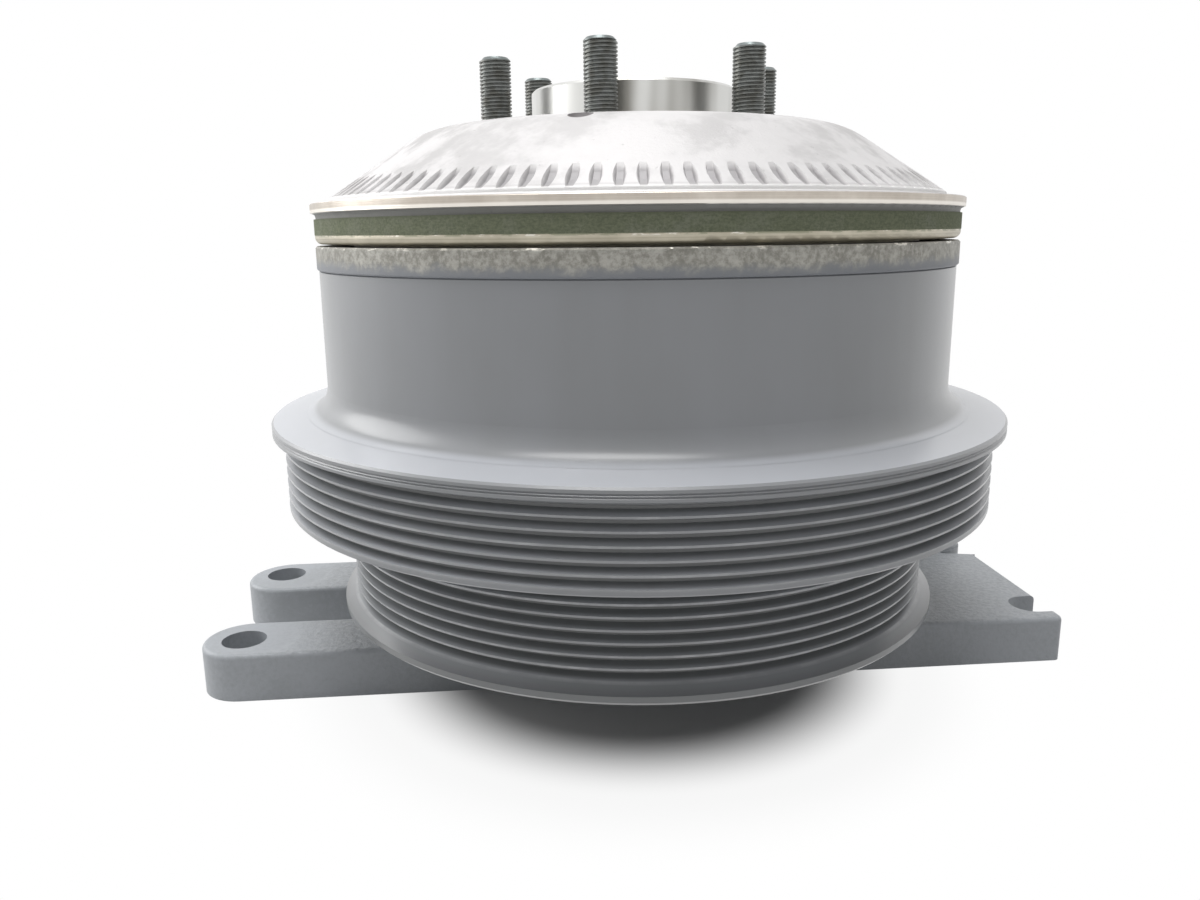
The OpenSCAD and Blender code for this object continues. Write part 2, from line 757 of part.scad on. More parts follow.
module air_piston() color(bare_steel) {
    mid = piston_z + piston_t / 2;
    head_r = cup_r - run_gap;
    rotate_extrude() difference() {
        polygon([
            [shaft_r + seat_gap, piston_z], [head_r - 0.5, piston_z], [head_r, piston_z + 0.5],
            [head_r, piston_top - 0.5], [head_r - 0.5, piston_top], [shaft_r + 5, piston_top],
            [shaft_r + 4, fan_bearing_z], [shaft_r + seat_gap, fan_bearing_z]
        ]);
        translate([head_r - 2 * piston_ring_r - 0.1, mid - piston_ring_r - 0.1])
            square([2 * piston_ring_r + e, 2 * piston_ring_r + 0.2]);
    }
}

module air_piston_o_ring() color(rubber_black) {
    rotate_extrude() translate([cup_r - run_gap - piston_ring_r, piston_z + piston_t / 2])
        circle(piston_ring_r);
}

function fan_rows() = [for (s = [-1, 1]) fan_bearing_z + fan_bearing_w / 2 + s * row_offset];

module fan_bearing_inner_race() color(bearing_steel) {
    race(shaft_r + seat_gap, fan_circle_r - fan_race_gap, fan_bearing_z, fan_bearing_w,
        fan_circle_r, fan_ball_r + ball_play, fan_rows());
}

module fan_bearing_outer_race() color(bearing_steel) {
    race(fan_circle_r + fan_race_gap, fan_bearing_r - seat_gap, fan_bearing_z, fan_bearing_w,
        fan_circle_r, fan_ball_r + ball_play, fan_rows());
}

module fan_bearing_cage() color(bronze) {
    half_w = row_offset + fan_ball_r + 0.8;
    mid = fan_bearing_z + fan_bearing_w / 2;
    cage(fan_circle_r, fan_race_gap * 0.4, mid - half_w, mid + half_w, fan_ball_r,
        fan_ball_count, fan_rows(), 180 / fan_ball_count);
}

module fan_bearing_balls() color("silver") {
    balls(fan_circle_r, fan_ball_r, fan_ball_count, fan_rows(), 180 / fan_ball_count);
}

module fan_bearing_washer() color(bare_steel) {
    ring(shaft_r - 1 + seat_gap, shaft_r + 4, fan_bearing_top, fan_bearing_top + fan_washer_t);
}

module fan_bearing_nut() color(spring_steel) {
    z0 = fan_bearing_top + fan_washer_t;
    difference() {
        intersection() {
            translate([0, 0, z0]) cylinder(r = (shaft_r + 4) / cos(30), h = fan_nut_h, $fn = 6);
            rotate_extrude() polygon([
                [0, z0], [shaft_r + 6.5, z0], [shaft_r + 6.5, z0 + fan_nut_h - 1.6],
                [shaft_r + 3.5, z0 + fan_nut_h], [0, z0 + fan_nut_h]
            ]);
        }
        column(shaft_r - 1 + seat_gap, z0 - e, z0 + fan_nut_h + e);
    }
}

module friction_disc() color(bare_steel) {
    corner_r = 2;
    bore_r = sleeve_bore_r + run_gap;
    pin_r = spring_r - 2 * spring_wire_r - 0.5;
    ring_z = floor_z + floor_t / 2;
    difference() {
        union() {
            rotate_extrude() difference() {
                polygon([
                    [bore_r, floor_z], [spline_root_r, floor_z], [spline_root_r, sleeve_z],
                    [sleeve_r, sleeve_z], [sleeve_r, floor_z], [cup_out_r, floor_z],
                    [cup_out_r, disc_z], [disc_body_r - 1, disc_z], [disc_body_r, disc_z + 1],
                    [disc_body_r, lip_z], [disc_r, lip_z], [disc_r, face_z],
                    [cup_r, face_z], [cup_r, disc_z], [bore_r, disc_z]
                ]);
                corner_web([disc_r, lip_z], 90, 180, corner_r);
                translate([bore_r - e, ring_z - disc_ring_r - 0.1])
                    square([2 * disc_ring_r + e, 2 * disc_ring_r + 0.2]);
            }
            around(spring_count, spring_pcr) column(pin_r, disc_z - spring_seat, disc_z + e);
        }
        spline_teeth(spline_root_r, spline_tip_r, spline_w + spline_play, sleeve_z - e, floor_z);
    }
}

module disc_o_ring() color(rubber_black) {
    rotate_extrude() translate([sleeve_bore_r + run_gap + disc_ring_r, floor_z + floor_t / 2])
        circle(disc_ring_r);
}

module engage_springs() color(spring_steel) {
    around(spring_count, spring_pcr)
        coil(spring_r - spring_wire_r, spring_wire_r, spring_z, disc_z, 5);
}

module friction_facing() color(facing_green) {
    play = 0.2;
    difference() {
        ring(facing_in_r, facing_r, face_z, under_z);
        around(screw_count, screw_pcr, screw_turn) {
            column(screw_r + play, face_z - e, under_z + e);
            column(screw_head_r + play, face_z - e, face_z + screw_sink);
            translate([0, 0, face_z + screw_sink])
                cylinder(r1 = screw_head_r + play, r2 = screw_r + play, h = screw_head_r - screw_r);
        }
    }
}

module facing_screws() color(spring_steel) {
    socket_r = 1.7;
    socket_h = 1.5;
    around(screw_count, screw_pcr, screw_turn) difference() {
        union() {
            translate([0, 0, face_z + screw_sink])
                cylinder(r1 = screw_head_r, r2 = screw_r, h = screw_head_r - screw_r);
            column(screw_r, face_z + screw_sink + screw_head_r - screw_r, under_z + screw_reach);
        }
        translate([0, 0, face_z + screw_sink - e]) cylinder(r = socket_r, h = socket_h + e, $fn = 6);
    }
}

// A point on the arc of a cooling groove's floor, from the cone's foot at t = 0 into its face at
// t = 1, or at a lift above that arc
function groove_point(t, lift) = let (
    sweep_r = (pow(groove_l / 2, 2) + pow(groove_deep, 2)) / (2 * groove_deep),
    turn = asin(groove_l / (2 * sweep_r)) * (2 * t - 1),
    along = groove_l / 2 + (sweep_r - lift) * sin(turn),
    deep = groove_deep - sweep_r + (sweep_r - lift) * cos(turn)
) [
    ledge_r - along * cos(cone_slope) - deep * sin(cone_slope),
    cone_foot_z + along * sin(cone_slope) - deep * cos(cone_slope)
];

// One cooling groove: a cut with leaning walls and a floor on chords of the arc
module cooling_groove() {
    chords = 4;
    lean = 30;
    lift = 2.5;
    floor_w = groove_w - groove_deep * tan(lean);
    head_w = floor_w + lift * tan(lean);
    loft([
        for (i = [0 : chords]) each
            let (p = groove_point(i / chords, 0), q = groove_point(i / chords, lift))
            [[p.x, -floor_w, p.y], [p.x, floor_w, p.y], [q.x, head_w, q.y], [q.x, -head_w, q.y]]
    ], 4);
}

module fan_mounting_disc() color(cast_aluminium) {
    hole_depth = stud_depth + 2;
    clip_z = fan_bearing_z - fan_clip_t;
    undercut_r = rim_r - undercut_w;
    cavity_top = cone_foot_z + (ledge_r - cavity_r) * tan(cone_slope) - disc_wall - 1;
    difference() {
        union() {
            rotate_extrude() {
                difference() {
                    polygon([
                        [fan_bearing_r, housing_z + 0.8], [fan_bearing_r + 0.8, housing_z],
                        [housing_r, housing_z], [housing_r + 1.5, land_z - disc_wall],
                        [land_r - 4, land_z - disc_wall], [cavity_r + 1, cavity_top],
                        [cavity_r, under_z], [undercut_r, under_z], [undercut_r, rim_base],
                        [rim_r, rim_base],
                        [rim_r, rim_top - 0.3], [rim_r - 0.3, rim_top], [ledge_r + 0.6, rim_top],
                        [ledge_r, rim_top + 0.6], [ledge_r, cone_foot_z],
                        [land_r, land_z], [pilot_r, land_z], [pilot_r, pilot_top - 0.8],
                        [pilot_r - 0.8, pilot_top], [nose_r + 0.6, pilot_top],
                        [nose_r, pilot_top - 0.6], [nose_r, fan_bearing_top],
                        [fan_bearing_r, fan_bearing_top], [fan_bearing_r, fan_bearing_z],
                        [fan_bearing_r + 2, fan_bearing_z], [fan_bearing_r + 2, clip_z],
                        [fan_bearing_r, clip_z]
                    ]);
                    corner_web([land_r, land_z], 180, 360 - cone_slope, cone_blend);
                    corner_web([ledge_r, cone_foot_z], 180 - cone_slope, 270, foot_r);
                }
                corner_web([undercut_r, rim_base], 270, 360, cove_r);
            }
            around(stud_count, stud_pcd / 2, stud_turn)
                column(stud_boss_r, land_z - hole_depth - 3, land_z - e);
        }
        around(stud_count, stud_pcd / 2, stud_turn)
            column(stud_seat_r + seat_gap, land_z - hole_depth, land_z + e);
        around(screw_count, screw_pcr, screw_turn)
            column(screw_r + seat_gap, under_z - e, under_z + screw_reach + 1);
        around(rib_count, 0, groove_turn) cooling_groove();
        rotate(dimple_turn) translate([land_r, 0, dimple_z]) sphere(dimple_r);
    }
}

module fan_studs() color(stud_black) {
    tip = 1.3;
    around(stud_count, stud_pcd / 2, stud_turn) rotate_extrude() polygon([
        [0, land_z - stud_depth], [stud_seat_r - tip, land_z - stud_depth],
        [stud_seat_r, land_z - stud_depth + tip], [stud_seat_r, land_z],
        [stud_r, land_z], [stud_r, land_z + stud_out - tip],
        [stud_r - tip, land_z + stud_out], [0, land_z + stud_out]
    ]);
}

module fan_bearing_circlip() color(spring_steel) {
    snap_ring(fan_bearing_r - 3, fan_bearing_r + 1.8, fan_bearing_z - fan_clip_t, fan_clip_t, -1);
}

module end_cap() color(bearing_steel) {
    wall = 1;
    skirt = 4;
    top = pilot_top - 0.6;
    rotate_extrude() polygon([
        [0, top - wall - 1.2], [nose_r - 5, top - wall - 1.2], [nose_r - 3.5, top - wall],
        [nose_r - wall, top - wall], [nose_r - wall, top - skirt], [nose_r - seat_gap, top - skirt],
        [nose_r - seat_gap, top - 0.8], [nose_r - 0.8, top], [nose_r - 3.8, top],
        [nose_r - 5.3, top - 1.2], [0, top - 1.2]
    ]);
}

mounting_bracket();
spindle();
spindle_circlip();
rear_bearing_inner_race();
bearing_spacer();
front_bearing_inner_race();
spindle_lock_washer();
spindle_nut();
air_seal_cartridge();
pulley();
drum_ring();
rear_bearing_outer_race();
front_bearing_outer_race();
rear_bearing_circlip();
rear_grease_seal();
drive_hub();
air_seal_seat();
air_piston();
air_piston_o_ring();
fan_bearing_inner_race();
fan_bearing_washer();
fan_bearing_nut();
friction_disc();
disc_o_ring();
engage_springs();
fan_mounting_disc();
friction_facing();
facing_screws();
fan_studs();
fan_bearing_outer_race();
fan_bearing_circlip();
end_cap();
rear_bearing_cage();
rear_bearing_balls();
front_bearing_cage();
front_bearing_balls();
fan_bearing_cage();
fan_bearing_balls();
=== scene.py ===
import json
from math import cos, pi, radians, sin, tan

import bpy
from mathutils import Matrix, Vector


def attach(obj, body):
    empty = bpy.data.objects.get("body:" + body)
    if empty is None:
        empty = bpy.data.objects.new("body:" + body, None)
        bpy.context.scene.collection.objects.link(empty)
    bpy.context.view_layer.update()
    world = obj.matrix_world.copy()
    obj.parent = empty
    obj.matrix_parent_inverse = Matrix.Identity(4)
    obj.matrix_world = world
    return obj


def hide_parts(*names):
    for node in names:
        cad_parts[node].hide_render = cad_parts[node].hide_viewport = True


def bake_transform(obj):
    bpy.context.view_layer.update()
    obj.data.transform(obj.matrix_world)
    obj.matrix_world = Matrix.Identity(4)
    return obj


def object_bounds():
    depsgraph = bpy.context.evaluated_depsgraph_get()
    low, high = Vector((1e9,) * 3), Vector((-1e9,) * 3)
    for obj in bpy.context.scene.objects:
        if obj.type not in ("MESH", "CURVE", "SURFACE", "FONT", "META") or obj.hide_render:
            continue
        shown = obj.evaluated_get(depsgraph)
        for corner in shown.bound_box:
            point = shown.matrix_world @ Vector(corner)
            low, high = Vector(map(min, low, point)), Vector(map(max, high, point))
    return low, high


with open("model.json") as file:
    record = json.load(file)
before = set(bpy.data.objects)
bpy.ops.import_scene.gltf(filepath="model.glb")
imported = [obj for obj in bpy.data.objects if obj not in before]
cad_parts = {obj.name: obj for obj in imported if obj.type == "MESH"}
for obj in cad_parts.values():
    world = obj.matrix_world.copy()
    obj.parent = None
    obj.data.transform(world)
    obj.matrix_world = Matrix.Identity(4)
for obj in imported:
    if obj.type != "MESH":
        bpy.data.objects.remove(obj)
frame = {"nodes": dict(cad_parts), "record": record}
cadBox = [list(corner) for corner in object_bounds()]
print("frame loaded:", len(frame["nodes"]), "nodes")


class Wire:  # one shader socket; sums and products of wires add their own nodes
    def __init__(self, tree, socket):
        self.tree = tree
        self.socket = socket

    def node(self, kind, settings, inputs, out=0):  # any node: settings first, then its sockets
        made = self.tree.nodes.new("ShaderNode" + kind)
        for key, value in settings.items():
            setattr(made, key, value)
        for key, value in inputs.items():
            if isinstance(value, Wire):
                self.tree.links.new(value.socket, made.inputs[key])
            else:
                made.inputs[key].default_value = value
        return Wire(self.tree, made.outputs[out])

    def maths(self, operation, *values):
        return self.node("Math", {"operation": operation}, dict(enumerate(values)))

    def __add__(self, other):
        return self.maths("ADD", self, other)

    def __sub__(self, other):
        return self.maths("SUBTRACT", self, other)

    def __mul__(self, other):
        return self.maths("MULTIPLY", self, other)

    def __truediv__(self, other):
        return self.maths("DIVIDE", self, other)

    def __rsub__(self, other):
        return self.maths("SUBTRACT", other, self)

    __radd__ = __add__
    __rmul__ = __mul__

    def step(self, low, high):  # 0 below low, 1 above high, soft between them
        return self.node("MapRange", {"interpolation_type": "SMOOTHSTEP"},
                         {"Value": self, "From Min": low, "From Max": high})

    def band(self, low, high, soft):  # 1 between low and high
        return self.step(low - soft, low + soft) * (1 - self.step(high - soft, high + soft))

    def noise(self, scale, detail=4, rough=0.55):  # self is the place
        return self.node("TexNoise", {}, {"Vector": self, "Scale": scale, "Detail": detail,
                                          "Roughness": rough})

    def stretched(self, x, y, z):  # the place, scaled along its three axes
        return self.node("VectorMath", {"operation": "MULTIPLY"}, {0: self, 1: (x, y, z)})

    def away(self, point):  # how far the place lies from a point
        return self.node("VectorMath", {"operation": "DISTANCE"}, {0: self, 1: point}, 1)

    def tint(self, first, second):  # self is the share of second
        return self.node("Mix", {"data_type": "RGBA"}, {0: self, 6: first, 7: second}, 2)


class Finish:  # a material that knows the place, and the radius and height on the clutch axis
    def __init__(self, name):
        self.material = bpy.data.materials.new(name)
        self.material.use_nodes = True
        tree = self.material.node_tree
        self.tree = tree
        self.shader = tree.nodes["Principled BSDF"]
        coords = tree.nodes.new("ShaderNodeTexCoord")
        self.place = Wire(tree, coords.outputs["Object"])
        parts = tree.nodes.new("ShaderNodeSeparateXYZ")
        tree.links.new(coords.outputs["Object"], parts.inputs[0])
        self.x, self.y, self.z = (Wire(tree, parts.outputs[i]) for i in range(3))
        self.radius = self.place.node("VectorMath", {"operation": "LENGTH"},
                                      {0: self.place.stretched(1, 1, 0)}, 1)
        normal = self.place.node("NewGeometry", {}, {}, 1)
        self.up = normal.node("SeparateXYZ", {}, {0: normal}, 2)  # 1 on level tops, 0 on walls

    def turned(self, across, along):  # lathe lines: fine across, long round the axis
        rings = self.place.node("CombineXYZ", {}, {
            0: self.radius * across, 1: self.z * across, 2: self.place.noise(along, 2)})
        return rings.noise(1, 3, 0.6)

    def set(self, **values):  # colour, rough, metal, coat and the like
        for key, value in values.items():
            socket = self.shader.inputs[key.replace("_", " ")]
            if isinstance(value, Wire):
                self.tree.links.new(value.socket, socket)
            else:
                socket.default_value = value

    def bump(self, height, strength, distance):  # distance in metres
        made = self.place.node("Bump", {}, {"Height": height, "Strength": strength,
                                            "Distance": distance})
        self.tree.links.new(made.socket, self.shader.inputs["Normal"])


def shade(red, green, blue):  # a colour as the eye reads it, 0 to 255, to linear light
    def linear(value):
        value = value / 255
        return value / 12.92 if value < 0.04045 else ((value + 0.055) / 1.055) ** 2.4
    return (linear(red), linear(green), linear(blue), 1)


def pulleyPaint():
    paint = {"grey": (160, 162, 166), "dust": (151, 153, 155), "top": (228, 231, 238),
             "wornAndLit": (206, 208, 210), "valley": (104, 106, 105), "topShare": 0.60,
             "wornAndLitShare": 0.35, "valleyShare": 0.66, "low": 0.0645, "lowShare": 0.16,
             "foot": 0.0342, "footShare": 0.40, "gloss": 0.34, "coat": 0.50, "coatRough": 0.24,
             "cloud": 14, "drift": 60, "fine": 900, "lathe": 2600, "bump": 0.08, "tracks": [
                 {"crest": 0.0955, "low": 0.0342, "high": 0.0630, "shadeDepth": 0.0016},
                 {"crest": 0.1144, "low": 0.0667, "high": 0.0881, "shadeDepth": 0.0026}]}
    f = Finish("pulleyPaint")
    cloud = f.place.noise(paint["cloud"], 3)
    spray = f.place.stretched(1, 1, 0.2)  # draws its clouds out into tall soft stripes
    drift = spray.noise(paint["drift"], 3, 0.5)
    fine = f.place.noise(paint["fine"], 2)
    lines = f.turned(paint["lathe"], 8)
    rub = (f.turned(500, 30) * 0.5 + f.place.noise(160, 3) * 0.5).step(0.46, 0.64)
    crest = valley = 0
    for track in paint["tracks"]:  # rubbed thin paint and a painted highlight make the groove crests paler; painted shade darkens the valleys between them
        edge = track["crest"]
        grooved = f.z.band(track["low"], track["high"], 0.0004) \
            * f.radius.step(edge - 0.0036, edge - 0.0033) \
            * (1 - f.radius.step(edge + 0.0008, edge + 0.0010))
        crest = crest + f.radius.step(edge - 0.00035, edge - 0.00005) * grooved
        valley = valley + (1 - f.radius.step(edge - track["shadeDepth"], edge - 0.0001)) * grooved
    colour = (cloud * 0.6 + drift * 0.4).step(0.30, 0.70).tint(
        shade(*paint["dust"]), shade(*paint["grey"]))
    dustAndLitTops = f.up.step(0.80, 0.97) * paint["topShare"]  # painted light: the level tops are painted paler, as if lit from above
    colour = dustAndLitTops.tint(colour, shade(*paint["top"]))
    # painted shade: the lower track and the foot are painted darker, under the upper flange
    lowDown = (1 - f.z.step(paint["low"] - 0.0006, paint["low"])) * paint["lowShare"] \
        + (1 - f.z.step(paint["foot"] - 0.002, paint["foot"])) * paint["footShare"]
    colour = lowDown.tint(colour, shade(*paint["valley"]))
    # painted shade: the groove valleys are painted darker
    colour = (valley * paint["valleyShare"]).tint(colour, shade(*paint["valley"]))
    # the crests are painted paler: rubbed paint, and a painted highlight along each crest
    colour = (crest * (rub * 0.5 + paint["wornAndLitShare"])).tint(colour, shade(*paint["wornAndLit"]))
    f.set(Base_Color=colour, Roughness=cloud * 0.10 + fine * 0.06 + (paint["gloss"] - 0.08),
          Coat_Weight=paint["coat"], Coat_Roughness=paint["coatRough"])
    f.bump(lines * 0.35 + fine * 0.35 + f.place.noise(120, 2) * 0.5, paint["bump"], 0.0004)
    return f.material


def bracketPaint():
    paint = {"grey": (180, 184, 189), "light": (196, 199, 202), "dust": (165, 169, 173),
             "ears": [(-0.1334, -0.012, 0), (-0.1334, 0.0515, 0)], "spot": 0.0170,
             "sandFrom": -0.120, "gloss": 0.44, "coat": 0.15, "coatRough": 0.34,
             "cloud": 22, "sand": 560, "lump": 150, "bump": 0.60}
    f = Finish("bracketPaint")
    cloud = f.place.noise(paint["cloud"], 3)
    sand = f.place.noise(paint["sand"], 4, 0.65)
    lump = f.place.noise(paint["lump"], 3, 0.6)
    flat = 0
    for ear in paint["ears"]:  # the ears are faced smooth round their holes
        away = f.place.stretched(1, 1, 0).away(ear)
        flat = flat + (1 - away.step(paint["spot"] - 0.002, paint["spot"] + 0.002))
    top = f.up.step(0.6, 0.9)
    coarse = top * f.x.step(paint["sandFrom"] - 0.01, paint["sandFrom"] + 0.02)
    rough = (1 - flat * top) * (coarse * 0.70 + 0.35)
    dustAndLitTops = (cloud * 0.6 + sand * 0.4).step(0.38, 0.62)
    colour = dustAndLitTops.tint(shade(*paint["dust"]), shade(*paint["grey"]))
    colour = (coarse * sand.step(0.42, 0.60) * 0.7).tint(colour, shade(*paint["light"]))
    f.set(Base_Color=colour, Roughness=dustAndLitTops * 0.12 + (paint["gloss"] - 0.05),
          Coat_Weight=paint["coat"], Coat_Roughness=paint["coatRough"])
    skin = (sand * 0.8 + lump * 0.6) * rough + f.place.noise(90, 2) * 0.3
    f.bump(skin, paint["bump"], 0.0011)
    return f.material


def castAluminium():
    cast = {"pale": (238, 236, 236), "grey": (222, 220, 220), "stainAndShade": (188, 186, 185),
            "rim": (238, 231, 221), "rimDark": (182, 173, 162), "rimBright": (250, 246, 238),
            "rimRadius": 0.1008, "rimTop": 0.15699, "under": 0.15429, "undercut": (112, 113, 108),
            "ledgeRadius": 0.0963, "ledgeLow": 0.15699, "ledgeHigh": 0.15839,
            "ledgeBright": (250, 249, 248), "slope": 34, "grooveFrom": 0.0868, "grooveTo": 0.0966,
            "hollow": (146, 143, 146), "pilotRadius": 0.0325, "land": 0.17879,
            "pilotDark": (150, 148, 142), "pilotPale": (216, 216, 213),
            "dimple": (-0.02172, -0.06238, 0.17979), "dimpleRadius": 0.0039,
            "dimpleDark": (96, 91, 92), "hollowShare": 0.62, "darkShare": 0.85,
            "skinRough": 0.48, "cutRough": 0.31, "cloud": 26, "patch": 75, "sand": 900,
            "pits": 520, "lathe": 2400, "wide": 700, "streaks": 62, "bump": 0.32}
    f = Finish("castAluminium")
    cloud = f.place.noise(cast["cloud"], 4, 0.6)
    patch = f.place.noise(cast["patch"], 4, 0.65)
    sand = f.place.noise(cast["sand"], 4, 0.7)
    pits = 1 - f.place.noise(cast["pits"], 2, 0.5).step(0.22, 0.29)
    below = 1 - f.z.step(cast["under"] - 0.00025, cast["under"] - 0.00005)
    rimFace = f.radius.step(cast["rimRadius"] - 0.0006, cast["rimRadius"]) * (1 - below) \
        * (1 - f.z.step(cast["rimTop"] - 0.0002, cast["rimTop"]))
    pilot = (1 - f.radius.step(cast["pilotRadius"] + 0.0008, cast["pilotRadius"] + 0.0012)) \
        * f.z.step(cast["land"] + 0.0004, cast["land"] + 0.0008)
    cutFace = rimFace.maths("MAXIMUM", rimFace, pilot)
    tool = f.turned(cast["lathe"], 14)
    wide = f.turned(cast["wide"], 6)
    side = f.x.maths("ABSOLUTE", f.x / f.radius).step(0.55, 0.95)  # 1 on the two flanks
    skin = (cloud * 0.55 + patch * 0.45).step(0.30, 0.62)
    colour = skin.tint(shade(*cast["grey"]), shade(*cast["pale"]))
    smudgeAndFlankShade = (1 - (patch * 0.6 + cloud * 0.4).step(0.42, 0.54)) * (side * 0.42 + 0.28)
    colour = smudgeAndFlankShade.tint(colour, shade(*cast["stainAndShade"]))  # handling marks, and painted shade on the two flanks
    colour = (pits * 0.4).tint(colour, shade(*cast["stainAndShade"]))
    rise = (cast["ledgeRadius"] - f.radius) * tan(radians(cast["slope"]))
    deep = (rise + cast["ledgeHigh"] - f.z) * cos(radians(cast["slope"]))  # below the cone's face
    groove = deep.step(0.0001, 0.0011) * f.radius.band(cast["grooveFrom"], cast["grooveTo"], 0.0004)
    # painted shade: the groove hollows below the cone's face are painted darker
    colour = (groove * cast["hollowShare"]).tint(colour, shade(*cast["hollow"]))
    face = (wide * 0.55 + tool * 0.25 + patch * 0.35).step(0.42, 0.80).tint(
        shade(*cast["rimDark"]), shade(*cast["rim"]))
    # painted highlight: a bright line along the rim face's lower edge
    bright = 1 - f.z.step(cast["under"] + 0.0005, cast["under"] + 0.0011)
    face = (bright * 0.6).tint(face, shade(*cast["rimBright"]))
    colour = rimFace.tint(colour, face)
    # painted reflection: tall dark and pale streaks on the pilot stand in for the room mirrored in
    # it
    streaks = f.place.stretched(1, 1, 0.1).noise(cast["streaks"], 2, 0.5).step(0.42, 0.60)
    colour = pilot.tint(colour, streaks.tint(shade(*cast["pilotDark"]), shade(*cast["pilotPale"])))
    low, high = cast["ledgeLow"], cast["ledgeHigh"]
    # painted highlight: the ledge band is painted near white
    ledge = f.radius.band(cast["ledgeRadius"] - 0.0012, cast["ledgeRadius"] + 0.0006, 0.0003) \
        * f.z.step(low + 0.0001, low + 0.0004) * (1 - f.z.step(high + 0.0001, high + 0.0005))
    colour = ledge.tint(colour, shade(*cast["ledgeBright"]))
    line = f.z.band(high + 0.0005, high + 0.0009, 0.0002)  # painted shade in the corner over the ledge
    colour = (line * 0.35).tint(colour, shade(*cast["stainAndShade"]))
    # painted shade: below the rim the undercut is painted dark
    colour = (below * cast["darkShare"]).tint(colour, shade(*cast["undercut"]))
    # painted shade: the dimple's hollow is painted dark
    away = f.place.away(cast["dimple"])
    dimple = 1 - away.step(cast["dimpleRadius"] + 0.00004, cast["dimpleRadius"] + 0.00016)
    colour = (dimple * cast["darkShare"]).tint(colour, shade(*cast["dimpleDark"]))
    skinRough = (1 - cutFace) * (cast["skinRough"] + patch * 0.14)
    cutRough = cutFace * (tool * 0.10 + cast["cutRough"])
    f.set(Base_Color=colour, Metallic=cutFace * 0.75 + 0.15, Roughness=skinRough + cutRough)
    skinBump = (1 - cutFace) * (sand * 0.8 + patch * 0.9 - pits * 0.5)
    f.bump(skinBump + rimFace * tool * 0.35, cast["bump"], 0.0006)
    return f.material


def facingGreen():
    facing = {"green": (138, 144, 119), "deep": (114, 120, 99), "grey": (156, 159, 145),
              "rimShadow": 0.15229, "rough": 0.80, "grain": 1500, "cloud": 30, "fibre": 700,
              "dust": 90, "bump": 0.5}
    f = Finish("facingGreen")
    grain = f.place.noise(facing["grain"], 4, 0.7)
    cloud = f.place.noise(facing["cloud"], 3, 0.6)
    fibre = f.place.stretched(1, 1, 3).noise(facing["fibre"], 3, 0.7)
    dust = (f.place.noise(facing["dust"], 4, 0.65) * 0.6 + grain * 0.4).step(0.46, 0.62)
    colour = (grain * 0.5 + fibre * 0.5).step(0.36, 0.62).tint(
        shade(*facing["deep"]), shade(*facing["green"]))
    colour = (dust * cloud * 0.7).tint(colour, shade(*facing["grey"]))
    # painted shadow: the top of the facing, under the rim, is painted darker
    rimShadow = f.z.step(facing["rimShadow"] - 0.0006, facing["rimShadow"])
    colour = (rimShadow * 0.5).tint(colour, shade(*facing["deep"]))
    f.set(Base_Color=colour, Roughness=grain * 0.15 + facing["rough"], Specular_IOR_Level=0.3)
    f.bump(grain * 0.6 + fibre * 0.6, facing["bump"], 0.0004)
    return f.material


def discSteel():
    steel = {"tan": (212, 205, 187), "brown": (164, 157, 138), "bright": (240, 236, 226),
             "green": (136, 139, 116), "bottom": 0.14529, "top": 0.14789, "metal": 0.70,
             "rough": 0.34, "lathe": 3000, "wide": 900, "patch": 60, "chips": 150, "bump": 0.16}
    f = Finish("discSteel")
    lines = f.turned(steel["lathe"], 10)
    wide = f.turned(steel["wide"], 5)
    patch = f.place.noise(steel["patch"], 4, 0.65)
    edge = f.z.step(steel["top"] - 0.0007, steel["top"] - 0.0002)
    chip = f.place.stretched(1, 1, 5).noise(steel["chips"], 4, 0.7)
    low = 1 - f.z.step(steel["bottom"] - 0.0004, steel["bottom"] + 0.0010)
    colour = (lines * 0.30 + wide * 0.35 + patch * 0.45).step(0.38, 0.74).tint(
        shade(*steel["brown"]), shade(*steel["tan"]))
    colour = (low * 0.55).tint(colour, shade(*steel["brown"]))
    colour = (edge * (1 - chip.step(0.44, 0.52)) * 0.7).tint(colour, shade(*steel["green"]))
    colour = (edge * chip.step(0.58, 0.64) * 0.9).tint(colour, shade(*steel["bright"]))
    f.set(Base_Color=colour, Metallic=steel["metal"], Roughness=patch * 0.16 + steel["rough"])
    f.bump(lines * 0.6 + patch * 0.4, steel["bump"], 0.0003)
    return f.material


def ringMetal():
    ring = {"metal": (182, 180, 173), "dark": (134, 132, 124), "paint": (148, 151, 156),
            "bright": (232, 229, 220), "bottom": 0.13759, "top": 0.14469, "rough": 0.46,
            "patch": 150, "mottle": 620, "lathe": 2200, "chips": 260, "bump": 0.24}
    f = Finish("ringMetal")
    height = (f.z - ring["bottom"]) / (ring["top"] - ring["bottom"])
    front = (0 - f.y / f.radius) * 0.5 + 0.5  # 1 at the front at rest, 0 at the back
    patch = f.place.noise(ring["patch"], 5, 0.65)
    mottle = f.place.noise(ring["mottle"], 4, 0.7)
    lines = f.turned(ring["lathe"], 12)
    bare = (height * 0.80 + patch * 0.55 + mottle * 0.30 + front * 0.15).step(0.62, 0.98)
    colour = (mottle * 0.70 + patch * 0.30).step(0.36, 0.66).tint(
        shade(*ring["dark"]), shade(*ring["metal"]))
    colour = bare.tint(shade(*ring["paint"]), colour)
    chip = f.place.stretched(1, 1, 2.5).noise(ring["chips"], 3, 0.6).step(0.57, 0.63) \
        * height.step(0.86, 0.97)
    colour = (chip * 0.9).tint(colour, shade(*ring["bright"]))
    f.set(Base_Color=colour, Metallic=bare * 0.5 + chip * 0.3,
          Roughness=mottle * 0.14 - chip * 0.2 + ring["rough"])
    f.bump(mottle * 0.6 + lines * 0.3 + bare * 0.2, ring["bump"], 0.0004)
    return f.material


